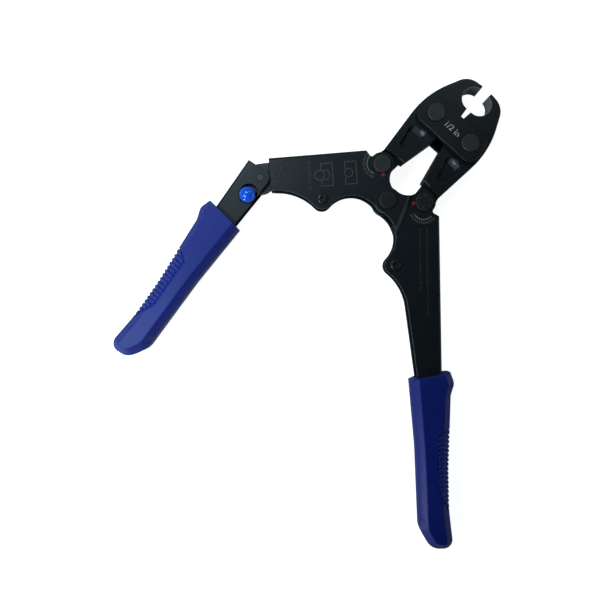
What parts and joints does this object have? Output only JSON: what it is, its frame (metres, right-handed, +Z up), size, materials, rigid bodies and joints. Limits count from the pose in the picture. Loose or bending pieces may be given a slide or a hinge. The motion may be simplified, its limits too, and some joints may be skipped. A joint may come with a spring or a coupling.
{
  "type": "pex crimp tool",
  "caption": "Compound-lever hand tool that closes a split round die on copper crimp rings, with blue grips, dial-set jaws and one folding handle held by a push button.",
  "frame": {"origin": "centre pivot's axis at the rear end of its pin, on the surface that the tool lies on", "axes": "+Y along the tool axis towards the jaws, +X towards the straight handle, +Z up to the dial side"},
  "size_m": [0.3146, 0.3358, 0.0283],
  "materials": {
    "lever_steel": "satin black oxide",
    "jaw_steel": "satin black oxide, forged",
    "strap_steel": "satin black oxide",
    "pin_steel": "satin black oxide, turned",
    "hardware_steel": "black oxide",
    "spring_steel": "bright wire",
    "grip_plastic": "satin moulded",
    "button_plastic": "glossy moulded"
  },
  "bodies": {
    "right_lever": {"right_lever": "lever_steel", "right_grip": "grip_plastic", "centre_pivot_pin": "pin_steel", "centre_pivot_clip": "hardware_steel", "right_dial_washer": "hardware_steel", "right_dial_nut": "hardware_steel", "right_stop_screw": "hardware_steel", "right_stop_sleeve": "hardware_steel", "right_stop_nut": "hardware_steel"},
    "left_lever": {"left_lever": "lever_steel", "centre_pivot_bush": "hardware_steel", "hinge_block": "jaw_steel", "block_rivets": "pin_steel", "left_dial_washer": "hardware_steel", "left_dial_nut": "hardware_steel", "left_stop_screw": "hardware_steel", "left_stop_sleeve": "hardware_steel", "left_stop_nut": "hardware_steel"},
    "rear_arm": {"rear_arm": "lever_steel", "fold_hinge_pin": "pin_steel", "left_grip": "grip_plastic", "lock_spring": "spring_steel"},
    "lock": {"lock_button": "button_plastic", "lock_plunger": "hardware_steel", "lock_clip": "hardware_steel"},
    "right_jaw": {"right_jaw": "jaw_steel"},
    "left_jaw": {"left_jaw": "jaw_steel"},
    "head": {"front_strap": "strap_steel", "rear_strap": "strap_steel", "left_strap_pin": "pin_steel", "right_strap_pin": "pin_steel", "strap_pin_clips": "hardware_steel"},
    "left_dial": {"left_dial_bolt": "pin_steel"},
    "right_dial": {"right_dial_bolt": "pin_steel"}
  },
  "joints": [
    {"name": "handle_close", "type": "hinge", "parent": "right_lever", "child": "left_lever", "pos_m": [0, 0, 0.0141], "axis": [0, 0, 1], "range_deg": [0, 59]},
    {"name": "right_jaw_swing", "type": "hinge", "parent": "right_lever", "child": "right_jaw", "pos_m": [0.02145, 0.018, 0.0141], "axis": [0, 0, 1], "range_deg": [0, 35.88]},
    {"name": "head_tilt", "type": "hinge", "parent": "right_jaw", "child": "head", "pos_m": [0.0172, 0.07303, 0.0141], "axis": [0, 0, 1], "range_deg": [-6.37, 0]},
    {"name": "left_jaw_swing", "type": "hinge", "parent": "head", "child": "left_jaw", "pos_m": [-0.0172, 0.07303, 0.0141], "axis": [0, 0, 1], "range_deg": [-6.37, 0]},
    {"name": "handle_fold", "type": "hinge", "parent": "left_lever", "child": "rear_arm", "pos_m": [-0.08303, -0.05156, 0.0141], "axis": [0, 0, 1], "range_deg": [-50.5, 0]},
    {"name": "lock_press", "type": "slide", "parent": "rear_arm", "child": "lock", "axis": [0, 0, -1], "range_m": [0, 0.002], "stiffness_N_per_m": 300, "springref_m": -0.003, "deforming": ["lock_spring"]},
    {"name": "left_dial_turn", "type": "hinge", "parent": "left_lever", "child": "left_dial", "pos_m": [-0.02145, 0.018, 0.0141], "axis": [0, 0, 1], "continuous": true},
    {"name": "right_dial_turn", "type": "hinge", "parent": "right_lever", "child": "right_dial", "pos_m": [0.02145, 0.018, 0.0141], "axis": [0, 0, 1], "continuous": true}
  ],
  "couplings": [
    {"joint": "right_jaw_swing", "follows": "handle_close", "ratio": 0.608},
    {"joint": "head_tilt", "follows": "handle_close", "ratio": -0.108},
    {"joint": "left_jaw_swing", "follows": "handle_close", "ratio": -0.108}
  ]
}
